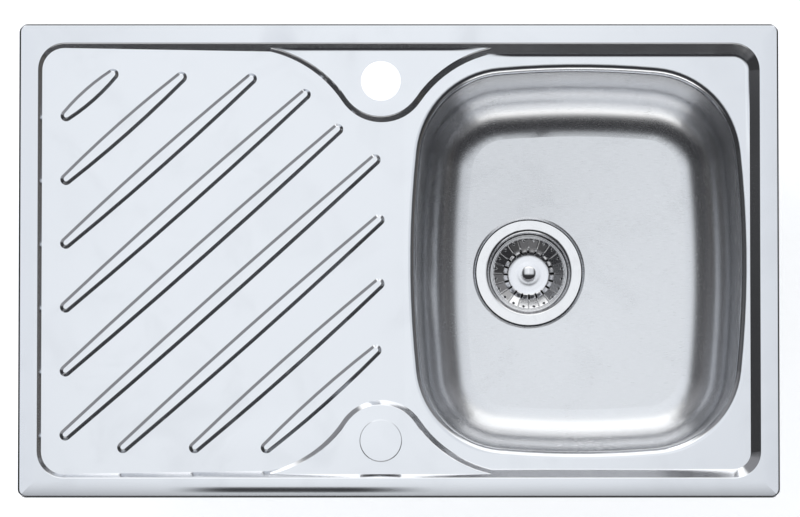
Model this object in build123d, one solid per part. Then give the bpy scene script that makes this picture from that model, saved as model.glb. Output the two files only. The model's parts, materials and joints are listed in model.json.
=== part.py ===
from build123d import *
from math import atan2, cos, degrees, hypot, pi, radians, sin, sqrt, tan
import os

# Inset stainless steel sink with one bowl, a ribbed drainboard and a basket waste. Millimetres, +Z up,
# +X from the drainboard to the bowl, +Y to the rear. The origin is the middle of the rim's outline, on
# the worktop that the rim lies on.

# Deck pressing
sink_length = 800.0
sink_width = 500.0
outline_radius = 9.0
sheet = 0.8
rim_height = 5.0
rim_edge_radius = 2.0
skirt_gap = 0.3
rim_band_ends = 20.0
rim_band_sides = 20.5
channel_corner_radius = 28.0
channel_edge_radius = 1.6
drop_far_end = 4.2
drop_at_bowl = 10.2
level_floor_gap = 3.9
wall_slope = 45.0

# Ribs of the drainboard: parallel lines, each from its lower left end to its upper right end
rib_angle = 41.8
rib_pitch = 67.4
rib_height = 3.2
rib_width = 17.0
rib_end_width = 12.0
rib_edge_radius = 1.2
rib_end_margin = 29.5
rib_side_margin = 32.5
rib_first_drop = 76.3
rib_ledge_gap = 26.0
rib_bowl_gap = 39.0
# How much short of its margin each rib stops at its upper end, from the rear left to the front right
rib_trims = (0.0, 4.5, 6.7, 0.4, 0.0, 5.6, 0.0, 0.0, 4.2)

# Tap ledges, one at the rear and its mirror image at the front
tap_bowl_gap = 36.9
tap_inset = 60.0
tap_hole_radius = 21.0
ledge_drop = 4.4
ledge_nose_shift = 6.6
ledge_nose_radius = 47.3
ledge_flare_radius = 126.0
ledge_flare_margin = 4.4
ledge_back_margin = 8.0
ledge_edge_radius = 1.4

# Bowl pressing: eight tangent arcs in plan
bowl_half_length = 171.1
bowl_end_gap = 1.4
bowl_side_gap = 10.2
bowl_end_arc = 1094.0
bowl_side_arc = 933.0
bowl_corner_arc = 91.0
bowl_lip_radius = 8.3
bowl_floor_z = -150.0
bowl_draft = 4.0
bowl_floor_radius = 48.0

# Waste in the bowl's floor
waste_offset = -50.0
recess_flange_gap = 0.2
recess_wall_run = 3.7
recess_depth = 3.0
waste_hole_radius = 45.0
flange_gasket_thickness = 1.2
flange_gasket_bore = 47.5
flange_radius = 56.0
gasket_inset = 1.0
flange_shoulder_radius = 4.5
cup_mouth_radius = 42.5
cup_foot_radius = 41.0
cup_depth = 35.0
cup_foot_round = 3.0
seat_radius = 24.0
seat_fall = 1.5
seat_round = 1.2
well_depth = 8.5
well_taper = 0.5
well_round = 1.0
drain_holes = 6
drain_hole_radius = 4.6
drain_circle_radius = 14.5
screw_radius = 4.0
screw_hole_gap = 0.3
screw_head_radius = 8.0
screw_head_height = 6.0
screw_socket_depth = 4.5
screw_length = 36.0
post_socket_gap = 0.4
post_end_gap = 1.5
body_gasket_thickness = 3.2
body_flange_radius = 58.0
body_flange_thickness = 4.5
body_bore = 45.0
body_wall = 3.0
body_taper = 1.0
body_foot_round = 4.0
body_foot_outer_round = 6.0
body_neck_round = 2.5
body_depth = 48.0
body_cone_height = 18.0
outlet_radius = 23.9
outlet_length = 32.0
boss_radius = 9.0
boss_height = 22.0
boss_drop = 1.4
spoke_thickness = 3.0
spoke_top_gap = 2.0
spoke_low_gap = 5.0
insert_radius = 6.5
insert_length = 14.0

# Basket, its post and its rubber stopper
basket_rim_drop = 9.0
basket_rim_gap = 0.9
basket_rim_width = 2.4
basket_skirt = 2.0
basket_rim_round = 1.0
basket_neck_round = 0.9
basket_floor_round = 2.2
basket_sheet = 0.6
basket_depth = 9.0
basket_floor_radius = 22.5
basket_slots = 20
slot_width = 2.2
slot_inner_radius = 21.9
slot_outer_radius = 27.8
basket_hole_radius = 1.2
basket_hole_circle = 36.6
post_radius = 3.0
post_collar_radius = 4.6
knob_radius = 7.4
knob_above_floor = 11.0
knob_neck_radius = 4.2
stopper_plate_radius = 19.0
stopper_plate_thickness = 1.5
stopper_radius = 27.0
stopper_top_radius = 16.0
stopper_height = 6.8
stopper_edge = 1.6
stopper_round = 0.5
stopper_seat_gap = 0.34
stopper_clip_radius = 5.5
stopper_clip_thickness = 1.5

# Cap on the front tap hole
cap_radius = 22.2
cap_height = 2.0
cap_thickness = 1.0
cap_edge_radius = 0.8
cap_seal_bore = 15.0
cap_seal_radius = 21.6
cap_seal_step_gap = 0.3
cap_seal_depth = 1.6
cap_stud_radius = 3.0
cap_stud_length = 26.0
cap_under_seal_thickness = 1.5
cap_under_seal_gap = 0.5
cap_plate_radius = 26.0
cap_plate_thickness = 1.5
cap_nut_radius = 6.0
cap_nut_height = 7.0
cap_wing_span = 30.0
cap_wing_height = 9.0
cap_wing_thickness = 2.4
cap_wing_round = 3.0

# Rim seal and the cut-out that the sink drops into
seal_edge_gap = 0.1
cutout_inset = 10.0
seal_cutout_gap = 1.0
seal_corner_radius = 4.0

# Clips: a bracket under the rim, a long screw, and a claw that swings out under the worktop
clip_left_inset = 120.0
clip_right_inset = 100.0
clip_middle_gap = 42.1
clip_width = 18.0
clip_foot_width = 28.0
clip_sheet = 1.2
clip_edge_gap = 0.6
clip_foot_depth = 8.0
clip_drop = 21.2
clip_reach = 26.0
clip_screw_inset = 17.0
clip_screw_radius = 2.5
clip_screw_end = 5.0
clip_slot_width = 1.2
clip_slot_depth = 1.5
clip_nut_flats = 8.0
clip_nut_height = 4.0
clip_head_radius = 5.0
clip_head_height = 4.0
claw_drop = 57.5
claw_arm = 38.0
claw_tail = 8.0
claw_tail_round = 7.0
claw_width = 16.0
claw_sheet = 2.0
claw_lip = 12.0
claw_teeth = 3
claw_tooth_depth = 1.6
claw_hole_gap = 0.3
claw_seat_gap = 0.3

# Damping pad under the bowl
pad_offset = 67.0
pad_length = 84.0
pad_width = 180.0
pad_thickness = 2.5
pad_corner_radius = 8.0

# Room that a cut runs past a face, and how far the blocks behind the sheet go on below the bowl's weld
past = 1.0
block_depth = 30.0

# Places that follow from the sizes above
half_length, half_width = sink_length / 2, sink_width / 2
channel_half_length = half_length - rim_band_ends
channel_half_width = half_width - rim_band_sides
# From the top of the channel's wall to the start of the bowl's own wall: the wall's run and the rolled edge
wall_run = drop_at_bowl / tan(radians(wall_slope))
bowl_x = channel_half_length - wall_run - bowl_end_gap - bowl_lip_radius - bowl_half_length
bowl_half_width = channel_half_width - wall_run - bowl_side_gap - bowl_lip_radius
bowl_left = bowl_x - bowl_half_length
level_floor_start = bowl_left - bowl_lip_radius - level_floor_gap
tap_x = bowl_left - tap_bowl_gap
tap_y = half_width - tap_inset
ledge_nose_y = tap_y + ledge_nose_shift
ledge_flare_y = channel_half_width - ledge_flare_margin
waste_x = bowl_x + waste_offset
pad_x = bowl_x + pad_offset


def rounded_rectangle(length, width, radius):
    # Outline of a rectangle with round corners, grown by an offset, at a height
    def outline(grow, z):
        half_x, half_y, corner = length / 2 + grow, width / 2 + grow, radius + grow
        edges = []
        for turn, along, across in ((0, half_x, half_y), (1, half_y, half_x), (2, half_x, half_y),
                                    (3, half_y, half_x)):
            start, end = (along, -(across - corner)), (along, across - corner)
            middle = (along - corner + corner * cos(pi / 4), across - corner + corner * sin(pi / 4))
            finish = (along - corner, across)
            spin = Location((0, 0, z), (0, 0, 90 * turn))
            edges.append(spin * Edge.make_line(start, end))
            edges.append(spin * Edge.make_three_point_arc(end, middle, finish))
        return Wire(edges)

    return outline


def toward(start, end):
    # Unit direction from one point to another in plan
    span = hypot(end[0] - start[0], end[1] - start[1])
    return (end[0] - start[0]) / span, (end[1] - start[1]) / span


def along(start, direction, distance):
    return start[0] + direction[0] * distance, start[1] + direction[1] * distance


def bowl_outline(grow, z):
    # Four long arcs joined by four corner arcs, all tangent. The corner's centre is where the circle of
    # centres inside the end arc crosses that inside the side arc.
    end_centre = (bowl_half_length - bowl_end_arc, 0)
    side_centre = (0, bowl_half_width - bowl_side_arc)
    inner_end, inner_side = bowl_end_arc - bowl_corner_arc, bowl_side_arc - bowl_corner_arc
    span = hypot(end_centre[0], side_centre[1])
    middle = (inner_end**2 - inner_side**2 + span**2) / (2 * span)
    aside = sqrt(inner_end**2 - middle**2)
    line = toward(end_centre, side_centre)
    foot = along(end_centre, line, middle)
    corner = along(foot, (-line[1], line[0]), aside)
    if corner[0] < 0:
        corner = along(foot, (line[1], -line[0]), aside)
    end_way, side_way = toward(end_centre, corner), toward(side_centre, corner)
    end_join = along(end_centre, end_way, bowl_end_arc + grow)
    side_join = along(side_centre, side_way, bowl_side_arc + grow)
    mid_way = toward((0, 0), (end_way[0] + side_way[0], end_way[1] + side_way[1]))
    mid_corner = along(corner, mid_way, bowl_corner_arc + grow)
    far_x, far_y = bowl_half_length + grow, bowl_half_width + grow

    def flip(point, x, y):
        return bowl_x + point[0] * x, point[1] * y, z

    arcs = [
        ((flip(end_join, 1, -1), flip((far_x, 0), 1, 1), flip(end_join, 1, 1))),
        ((flip(end_join, 1, 1), flip(mid_corner, 1, 1), flip(side_join, 1, 1))),
        ((flip(side_join, 1, 1), flip((0, far_y), 1, 1), flip(side_join, -1, 1))),
        ((flip(side_join, -1, 1), flip(mid_corner, -1, 1), flip(end_join, -1, 1))),
        ((flip(end_join, -1, 1), flip((far_x, 0), -1, 1), flip(end_join, -1, -1))),
        ((flip(end_join, -1, -1), flip(mid_corner, -1, -1), flip(side_join, -1, -1))),
        ((flip(side_join, -1, -1), flip((0, far_y), 1, -1), flip(side_join, 1, -1))),
        ((flip(side_join, 1, -1), flip(mid_corner, 1, -1), flip(end_join, 1, -1))),
    ]
    return Wire([Edge.make_three_point_arc(*arc) for arc in arcs])


# From the nose's centre to a flare's centre, across and up
ledge_rise = ledge_flare_y - ledge_flare_radius - ledge_nose_y
ledge_flare_x = sqrt((ledge_nose_radius + ledge_flare_radius) ** 2 - ledge_rise**2)
ledge_join_angle = atan2(ledge_rise, ledge_flare_x)


def ledge_outline(grow, z):
    # Bell shape of the rear ledge: a round nose and two flares that run out along the channel's wall
    nose, flare = ledge_nose_radius + grow, ledge_flare_radius - grow
    flare_x, angle = ledge_flare_x, ledge_join_angle
    join = (nose * cos(angle), ledge_nose_y + nose * sin(angle))
    flare_centre = (flare_x, ledge_flare_y - ledge_flare_radius)
    mid_angle = (pi / 2 + pi + angle) / 2
    mid_flare = along(flare_centre, (cos(mid_angle), sin(mid_angle)), flare)
    flare_end = (flare_x, flare_centre[1] + flare)
    back_y = channel_half_width + ledge_back_margin

    def at(point, side):
        return tap_x + point[0] * side, point[1], z

    return Wire([
        Edge.make_line(at((flare_x, back_y), 1), at((flare_x, back_y), -1)),
        Edge.make_line(at((flare_x, back_y), -1), at(flare_end, -1)),
        Edge.make_three_point_arc(at(flare_end, -1), at(mid_flare, -1), at(join, -1)),
        Edge.make_three_point_arc(at(join, -1), at((0, ledge_nose_y - nose), 1), at(join, 1)),
        Edge.make_three_point_arc(at(join, 1), at(mid_flare, 1), at(flare_end, 1)),
        Edge.make_line(at(flare_end, 1), at((flare_x, back_y), 1)),
    ])


def rib_outline(span):
    # Lens with round ends along X: two long arcs tangent to the end circles
    def outline(grow, z):
        half, end = rib_width / 2 + grow, rib_end_width / 2 + grow
        side = ((span / 2) ** 2 + half**2 - end**2) / (2 * (half - end))
        way = toward((0, half - side), (span / 2, 0))
        join = along((span / 2, 0), way, end)
        tip = (span / 2 + end, 0)
        return Wire([
            Edge.make_three_point_arc((join[0], -join[1], z), (*tip, z), (*join, z)),
            Edge.make_three_point_arc((*join, z), (0, half, z), (-join[0], join[1], z)),
            Edge.make_three_point_arc((-join[0], join[1], z), (-tip[0], 0, z), (-join[0], -join[1], z)),
            Edge.make_three_point_arc((-join[0], -join[1], z), (0, -half, z), (join[0], -join[1], z)),
        ])

    return outline


def circle_crossings(start, way, centre, radius):
    # The two points where a line in plan crosses a circle, nearer one first, if it does
    run = (centre[0] - start[0]) * way[0] + (centre[1] - start[1]) * way[1]
    gap_squared = (centre[0] - start[0]) ** 2 + (centre[1] - start[1]) ** 2 - run**2
    if gap_squared >= radius**2:
        return []
    half_chord = sqrt(radius**2 - gap_squared)
    return [along(start, way, run - half_chord), along(start, way, run + half_chord)]


def rib_ends(number, trim):
    # A rib's line runs from the left or front margin up to whichever comes first: the rear margin, the
    # bowl, or the rear ledge's flare or nose, and stops short of it by its trim
    way = (cos(radians(rib_angle)), sin(radians(rib_angle)))
    left_x = rib_end_margin - channel_half_length
    line_y = channel_half_width - rib_first_drop - rib_pitch * number
    side_y = channel_half_width - rib_side_margin
    start_y = max(line_y, -side_y)
    start = (left_x + (start_y - line_y) * way[0] / way[1], start_y)
    ends = [along(start, way, (side_y - start_y) / way[1]),
            along(start, way, (bowl_left - rib_bowl_gap - start[0]) / way[0])]
    flare_centre = (tap_x - ledge_flare_x, ledge_nose_y + ledge_rise)
    for point in circle_crossings(start, way, flare_centre, ledge_flare_radius - rib_ledge_gap)[1:]:
        angle = atan2(point[1] - flare_centre[1], point[0] - flare_centre[0])
        if -ledge_join_angle <= angle <= pi / 2:
            ends.append(point)
    nose_centre = (tap_x, ledge_nose_y)
    for point in circle_crossings(start, way, nose_centre, ledge_nose_radius + rib_ledge_gap)[:1]:
        if atan2(nose_centre[1] - point[1], nose_centre[0] - point[0]) >= -ledge_join_angle:
            ends.append(point)
    return start, along(min(ends), way, -trim)


def frustum(outline, low_z, low_grow, high_z, high_grow):
    return Solid.make_loft([outline(low_grow, low_z), outline(high_grow, high_z)], ruled=True)


def edges_at(shape, z, half_x, half_y, centre_x=0.0):
    # The shape's edges that lie level at a height, inside a box in plan
    found = []
    for edge in shape.edges():
        box = edge.bounding_box()
        level = abs(box.min.Z - z) < 0.01 and abs(box.max.Z - z) < 0.01
        inside = max(abs(box.min.X - centre_x), abs(box.max.X - centre_x)) < half_x
        if level and inside and max(abs(box.min.Y), abs(box.max.Y)) < half_y:
            found.append(edge)
    return found


def turned(points, rounds=()):
    # Ring or disc turned about the waste's axis from (radius, height) points. Each entry of rounds is
    # a point's number and the radius of its corner.
    profile = make_face(Polyline(*points, close=True))
    for number, radius in rounds:
        radius_at, height_at = points[number]
        corner = min(profile.vertices(), key=lambda v: hypot(v.X - radius_at, v.Y - height_at))
        profile = fillet(corner, radius)
    return revolve(Plane.XZ * profile, axis=Axis.Z)


def washer(outer, inner, low_z, high_z):
    return turned([(inner, low_z), (outer, low_z), (outer, high_z), (inner, high_z)])


def bar(x0, x1, y0, y1, z0, z1):
    return Pos((x0 + x1) / 2, (y0 + y1) / 2, (z0 + z1) / 2) * Box(x1 - x0, y1 - y0, z1 - z0)


floor_z = rim_height - drop_at_bowl
ledge_z = rim_height - ledge_drop
weld_z = floor_z - bowl_lip_radius
ledge_waist_z = (ledge_z + floor_z) / 2
slope_run = level_floor_start + channel_half_length - drop_far_end
floor_tilt = atan2(drop_at_bowl - drop_far_end, slope_run)
rim_outline = rounded_rectangle(sink_length, sink_width, outline_radius)
channel_outline = rounded_rectangle(2 * channel_half_length, 2 * channel_half_width,
                                    channel_corner_radius)
mitre = tan(radians(90 - wall_slope) / 2)


def pressed_block(inset):
    # Everything under the deck's upper face, or, with the sheet as inset, under its lower face
    top, base = rim_height - inset, weld_z - block_depth - inset
    shift = inset * mitre
    block = frustum(rim_outline, base, -inset, top, -inset)
    outer_edges = edges_at(block, top, half_length + past, half_width + past)
    block = block.fillet(rim_edge_radius - inset, outer_edges)

    # The stepped channel, cut down to the drainer's slope and the level floor around the bowl
    low = floor_z - bowl_lip_radius
    hollow = frustum(channel_outline, low, shift + low - top, top + past, shift + past)
    floor_left = floor_z + (half_length + level_floor_start) * tan(floor_tilt)
    section = make_face(Polyline((-half_length, floor_left - inset), (level_floor_start, floor_z - inset),
                                 (half_length, floor_z - inset), (half_length, top + 2 * past),
                                 (-half_length, top + 2 * past), close=True))
    above = extrude(Plane.XZ * section, amount=half_width, both=True)
    block = block - (hollow & above)
    channel_edges = edges_at(block, top, channel_half_length + 2 * past,
                             channel_half_width + 2 * past)
    block = block.fillet(channel_edge_radius - inset, channel_edges)

    # The bowl's opening, with its edge rolled down
    block = block - frustum(bowl_outline, base - past, inset, rim_height, inset)
    lip_edges = edges_at(block, floor_z - inset, bowl_half_length + past + inset,
                         bowl_half_width + past + inset, bowl_x)
    block = block.fillet(bowl_lip_radius - inset, lip_edges)

    # The two tap ledges
    high, low = ledge_z - inset, floor_z - bowl_lip_radius
    ledge = frustum(ledge_outline, low, ledge_waist_z - inset - low - shift, high,
                    ledge_waist_z - inset - high - shift)
    face = [e for e in edges_at(ledge, high, half_length, half_width) if e.geom_type == GeomType.CIRCLE]
    ledge = ledge.fillet(ledge_edge_radius - inset, face)
    block = block + ledge + mirror(ledge, about=Plane.XZ)

    # The ribs, standing square to the drainer's slope
    slope = Plane(origin=(level_floor_start, 0, floor_z - inset / cos(floor_tilt)),
                  x_dir=(cos(floor_tilt), 0, -sin(floor_tilt)), z_dir=(sin(floor_tilt), 0, cos(floor_tilt)))
    for number, trim in enumerate(rib_trims):
        start, end = rib_ends(number, trim)
        middle_x, middle_y = (start[0] + end[0]) / 2, (start[1] + end[1]) / 2
        span = hypot(end[0] - start[0], end[1] - start[1])
        rib = frustum(rib_outline(span), -past, past - shift, rib_height, -rib_height - shift)
        crown = edges_at(rib, rib_height, span, span)
        rib = rib.fillet(rib_edge_radius - inset, crown)
        place = Location((middle_x - level_floor_start, middle_y, 0), (0, 0, rib_angle))
        block = block + slope.location * place * rib
    return block


deck = pressed_block(0) - pressed_block(sheet)
under = bar(-half_length - past, half_length + past, -half_width - past, half_width + past,
            weld_z - 2 * block_depth, weld_z)
clear_of_skirt = rounded_rectangle(sink_length - cutout_inset, sink_width - cutout_inset,
                                   outline_radius)
around = bar(-half_length - past, half_length + past, -half_width - past, half_width + past,
             weld_z - past, skirt_gap)
around = around - frustum(clear_of_skirt, weld_z - 2 * past, 0, skirt_gap + past, 0)
deck = deck - under - around
for side in (1, -1):
    deck = deck - Pos(tap_x, side * tap_y, ledge_z) * Cylinder(tap_hole_radius, 6 * past)


# Bowl: drafted wall, wide floor radius, and a stepped recess for the waste's flange
draft = tan(radians(bowl_draft))
recess_radius = flange_radius + recess_flange_gap + recess_wall_run
recess_slope = atan2(recess_depth, recess_wall_run)


def bowl_block(outset, top_z):
    floor = bowl_floor_z - outset
    grow_top = outset + (top_z - weld_z) * draft
    block = frustum(bowl_outline, floor, outset - (weld_z - floor) * draft, top_z, grow_top)
    edges = edges_at(block, floor, sink_length, sink_width)
    block = block.fillet(bowl_floor_radius + outset, edges)
    rim = recess_radius + outset * tan(recess_slope / 2)
    recess = Solid.make_cone(rim - recess_wall_run, rim, recess_depth)
    return block + Pos(waste_x, 0, floor - recess_depth) * recess


bowl = bowl_block(sheet, weld_z) - bowl_block(0, weld_z + past)
bowl = bowl - Pos(waste_x, 0, bowl_floor_z) * Cylinder(waste_hole_radius, 4 * recess_depth)
bowl_under_z = bowl_floor_z - sheet

# Rim seal between the skirt and the cut-out
seal_top = rim_height - sheet
seal_grow = -(rim_edge_radius + seal_edge_gap)
rim_seal = frustum(rim_outline, 0, seal_grow, seal_top, seal_grow)
seal_inset = 2 * (cutout_inset - seal_cutout_gap)
seal_hole = rounded_rectangle(sink_length - seal_inset, sink_width - seal_inset, seal_corner_radius)
rim_seal = rim_seal - frustum(seal_hole, -past, 0, seal_top + past, 0)

sound_pad = bar(pad_x - pad_length / 2, pad_x + pad_length / 2, -pad_width / 2, pad_width / 2,
                bowl_under_z - pad_thickness, bowl_under_z)
sound_pad = fillet(sound_pad.edges().filter_by(Axis.Z), radius=pad_corner_radius)

# Waste cup: flange, rounded shoulder, drafted wall, sloping seat and a well with drain holes
recess_z = bowl_floor_z - recess_depth
flange_under = recess_z + flange_gasket_thickness
flange_top = flange_under + sheet
cup_foot_z = flange_top - cup_depth
seat_z = cup_foot_z - seat_fall
well_z = seat_z - well_depth
well_radius = seat_radius - well_taper
screw_hole = screw_radius + screw_hole_gap
waste_cup = turned(
    [(flange_radius, flange_top), (cup_mouth_radius, flange_top), (cup_foot_radius, cup_foot_z),
     (seat_radius, seat_z), (well_radius, well_z), (screw_hole, well_z), (screw_hole, well_z - sheet),
     (well_radius + sheet, well_z - sheet), (seat_radius + sheet, seat_z - sheet),
     (cup_foot_radius + sheet, cup_foot_z - sheet), (cup_mouth_radius + sheet, flange_under),
     (flange_radius, flange_under)],
    [(1, flange_shoulder_radius), (2, cup_foot_round), (3, seat_round), (4, well_round),
     (7, well_round + sheet), (8, seat_round - sheet), (9, cup_foot_round + sheet),
     (10, flange_shoulder_radius - sheet)])
for number in range(drain_holes):
    hole = Pos(drain_circle_radius, 0, well_z) * Cylinder(drain_hole_radius, 4 * past)
    waste_cup = waste_cup - Rot(0, 0, 360 * number / drain_holes) * hole

flange_gasket = washer(flange_radius - gasket_inset, flange_gasket_bore, recess_z, flange_under)
body_gasket_low = recess_z - sheet - body_gasket_thickness
body_gasket = washer(body_flange_radius - gasket_inset, body_bore + gasket_inset, body_gasket_low,
                     recess_z - sheet)

# Clamp screw with the hollow head that guides the basket's post
head_top = well_z + screw_head_height
socket = Pos(0, 0, head_top - screw_socket_depth / 2) * Cylinder(post_radius + post_socket_gap,
                                                                  screw_socket_depth)
clamp_screw = washer(screw_head_radius, 0, well_z, head_top) - socket
clamp_screw = clamp_screw + washer(screw_radius, 0, well_z - screw_length, well_z)

# Waste body: flange, straight wall and cone, with the outlet spigot under it
body_foot = body_gasket_low - body_depth
cone_foot = body_foot - body_cone_height
outlet_z = cone_foot - outlet_length
outlet_bore = outlet_radius - body_wall
spigot_top = cone_foot - body_wall
waste_body = turned(
    [(body_bore, body_gasket_low), (body_bore - body_taper, body_foot), (outlet_bore, cone_foot),
     (outlet_bore, spigot_top), (outlet_radius, spigot_top),
     (body_bore - body_taper + body_wall, body_foot - body_wall / 2),
     (body_bore + body_wall, body_gasket_low - body_flange_thickness),
     (body_flange_radius, body_gasket_low - body_flange_thickness), (body_flange_radius, body_gasket_low)],
    [(1, body_foot_round), (5, body_foot_outer_round), (6, body_neck_round)])
waste_spigot = washer(outlet_radius, outlet_bore, outlet_z, spigot_top)

# Bridge inside the body: a boss for the clamp screw's brass insert, held by four spokes
boss_top = body_foot - boss_drop
boss_low = boss_top - boss_height
waste_bridge = washer(boss_radius, 0, boss_low, boss_top)
spoke_top, spoke_low = boss_top - spoke_top_gap, boss_low + spoke_low_gap
for turn in (0, 90):
    spoke = bar(-body_bore, body_bore, -spoke_thickness / 2, spoke_thickness / 2, spoke_low, spoke_top)
    waste_bridge = waste_bridge + Rot(0, 0, turn) * spoke
inside = turned([(0, body_foot), (body_bore - body_taper, body_foot), (outlet_bore, cone_foot),
                 (outlet_bore, outlet_z), (0, outlet_z)])
insert_low = boss_low
insert_top = insert_low + insert_length
waste_bridge = (waste_bridge & inside) - washer(insert_radius, 0, insert_low - past, insert_top)
waste_bridge = waste_bridge - washer(screw_hole, 0, boss_low - past, boss_top + past)
waste_insert = washer(insert_radius, screw_radius, insert_low, insert_top)

# Basket: rolled rim, sloping wall with a ring of holes, flat floor with slots at its corner
basket_rim_z = flange_top - basket_rim_drop
basket_floor_z = basket_rim_z - basket_depth
cup_fall = (cup_mouth_radius - cup_foot_radius) / cup_depth
basket_rim_radius = cup_mouth_radius - (basket_rim_drop + basket_skirt) * cup_fall - basket_rim_gap
basket_wall_radius = basket_rim_radius - basket_rim_width
wall_lean = atan2(basket_depth, basket_wall_radius - basket_floor_radius)
thin = basket_sheet
corner_shift = thin * tan(wall_lean / 2)
basket_cup = turned(
    [(basket_rim_radius, basket_rim_z - basket_skirt), (basket_rim_radius, basket_rim_z),
     (basket_wall_radius, basket_rim_z), (basket_floor_radius, basket_floor_z),
     (post_radius, basket_floor_z), (post_radius, basket_floor_z - thin),
     (basket_floor_radius + corner_shift, basket_floor_z - thin),
     (basket_wall_radius + corner_shift, basket_rim_z - thin),
     (basket_rim_radius - thin, basket_rim_z - thin),
     (basket_rim_radius - thin, basket_rim_z - basket_skirt)],
    [(1, basket_rim_round), (2, basket_neck_round), (3, basket_floor_round),
     (6, basket_floor_round + thin), (8, basket_rim_round - thin)])
hole_z = basket_rim_z - (basket_wall_radius - basket_hole_circle) * tan(wall_lean)
for number in range(basket_slots):
    turn = 360 / basket_slots
    slot = bar(slot_inner_radius, slot_outer_radius, -slot_width / 2, slot_width / 2,
               basket_floor_z - 3 * thin, basket_floor_z + basket_depth / 2)
    hole = Pos(basket_hole_circle, 0, hole_z) * Rot(0, -degrees(wall_lean), 0)
    hole = hole * Cylinder(basket_hole_radius, 6 * thin)
    basket_cup = basket_cup - Rot(0, 0, turn * number) * slot - Rot(0, 0, turn * (number + 0.5)) * hole

# Post with the collar that spaces the stopper from the basket, knob and rubber stopper
knob_z = basket_floor_z + knob_above_floor
post_low = head_top - screw_socket_depth + post_end_gap
seat_slope = seat_fall / (cup_foot_radius - seat_radius)
stopper_low = seat_z + stopper_seat_gap + (stopper_radius - seat_radius) * seat_slope
plate_low = stopper_low + stopper_height
plate_top = plate_low + stopper_plate_thickness
basket_post = washer(post_radius, 0, post_low, knob_z)
basket_post = basket_post + washer(post_collar_radius, 0, plate_top, basket_floor_z - thin)
basket_knob = Pos(0, 0, knob_z) * Sphere(knob_radius) + washer(knob_neck_radius, 0, basket_floor_z, knob_z)
basket_knob = basket_knob - washer(post_radius, 0, basket_floor_z - past, knob_z)
stopper_plate = washer(stopper_plate_radius, post_radius, plate_low, plate_top)
stopper_seal = turned(
    [(post_radius, stopper_low), (stopper_radius, stopper_low), (stopper_radius, stopper_low + stopper_edge),
     (stopper_top_radius, plate_low), (post_radius, plate_low)], [(1, stopper_round)])
stopper_clip = washer(stopper_clip_radius, post_radius, stopper_low - stopper_clip_thickness, stopper_low)

# Cap on the front tap hole: disc, stepped seal, stud, under seal, plate and wing nut
cap_top = ledge_z + cap_height
cap_under = cap_top - cap_thickness
deck_under = ledge_z - sheet
cap_disc = turned([(0, cap_under), (cap_radius, cap_under), (cap_radius, cap_top), (0, cap_top)],
                  [(2, cap_edge_radius)])
plug_radius = tap_hole_radius - cap_seal_step_gap
cap_seal = turned([(cap_seal_bore, ledge_z - cap_seal_depth), (plug_radius, ledge_z - cap_seal_depth),
                   (plug_radius, ledge_z), (cap_seal_radius, ledge_z), (cap_seal_radius, cap_under),
                   (cap_seal_bore, cap_under)])
cap_stud = washer(cap_stud_radius, 0, cap_under - cap_stud_length, cap_under)
under_seal_low = deck_under - cap_under_seal_thickness
cap_under_seal = washer(cap_plate_radius, tap_hole_radius + cap_under_seal_gap, under_seal_low, deck_under)
plate_under = under_seal_low - cap_plate_thickness
cap_plate = washer(cap_plate_radius, cap_stud_radius, plate_under, under_seal_low)
nut_low = plate_under - cap_nut_height
cap_wing_nut = washer(cap_nut_radius, 0, nut_low, plate_under)
wings = bar(-cap_wing_span / 2, cap_wing_span / 2, -cap_wing_thickness / 2, cap_wing_thickness / 2,
            nut_low - cap_wing_height / 3, nut_low + cap_wing_height * 2 / 3)
wings = fillet(wings.edges().filter_by(Axis.Y), radius=cap_wing_round)
cap_wing_nut = cap_wing_nut + wings - washer(cap_stud_radius, 0, nut_low - 2 * cap_wing_height, plate_under)

# One clip, drawn with +X outwards from the cut-out's edge
web_outer = -clip_edge_gap
flange_z = seal_top - clip_drop
axis_x = -clip_screw_inset
bracket = bar(web_outer - clip_foot_depth, web_outer, -clip_foot_width / 2, clip_foot_width / 2,
              seal_top - clip_sheet, seal_top)
bracket = bracket + bar(web_outer - clip_sheet, web_outer, -clip_width / 2, clip_width / 2,
                        flange_z, seal_top)
bracket = bracket + bar(-clip_reach, web_outer, -clip_width / 2, clip_width / 2,
                        flange_z - clip_sheet, flange_z)
shaft = Pos(axis_x, 0, flange_z) * Cylinder(clip_screw_radius, 6 * clip_nut_height)
bracket = bracket - shaft
nut = Pos(axis_x, 0, flange_z) * extrude(RegularPolygon(clip_nut_flats / 2, 6, major_radius=False),
                                         clip_nut_height)
nut = nut - shaft
screw_top = flange_z + clip_screw_end
claw_low = -claw_drop
head_z = claw_low - claw_seat_gap
screw = washer(clip_screw_radius, 0, head_z, screw_top)
screw = screw + washer(clip_head_radius, 0, head_z - clip_head_height, head_z)
screw_low = head_z - clip_head_height
screw = screw - bar(-clip_head_radius, clip_head_radius, -clip_slot_width / 2, clip_slot_width / 2,
                    screw_low - past, screw_low + clip_slot_depth)
screw = Pos(axis_x, 0, 0) * screw

# The claw points along -Y from the screw while it is stowed, and swings out to +X
claw = bar(-claw_width / 2, claw_width / 2, -claw_arm, claw_tail, claw_low, claw_low + claw_sheet)
claw = fillet(claw.edges().filter_by(Axis.Z).group_by(Axis.Y)[-1], radius=claw_tail_round)
claw = claw + bar(-claw_width / 2, claw_width / 2, -claw_arm, -claw_arm + claw_sheet, claw_low,
                  claw_low + claw_lip)
for number in range(claw_teeth):
    notch_x = (number + 0.5 - claw_teeth / 2) * claw_width / claw_teeth
    notch = Pos(notch_x, -claw_arm, claw_low + claw_lip) * Rot(0, 45, 0)
    claw = claw - notch * Box(claw_tooth_depth, 4 * claw_sheet, claw_tooth_depth)
claw = claw - Pos(0, 0, claw_low) * Cylinder(clip_screw_radius + claw_hole_gap, 4 * claw_sheet)
claw = Pos(axis_x, 0, 0) * claw

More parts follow.
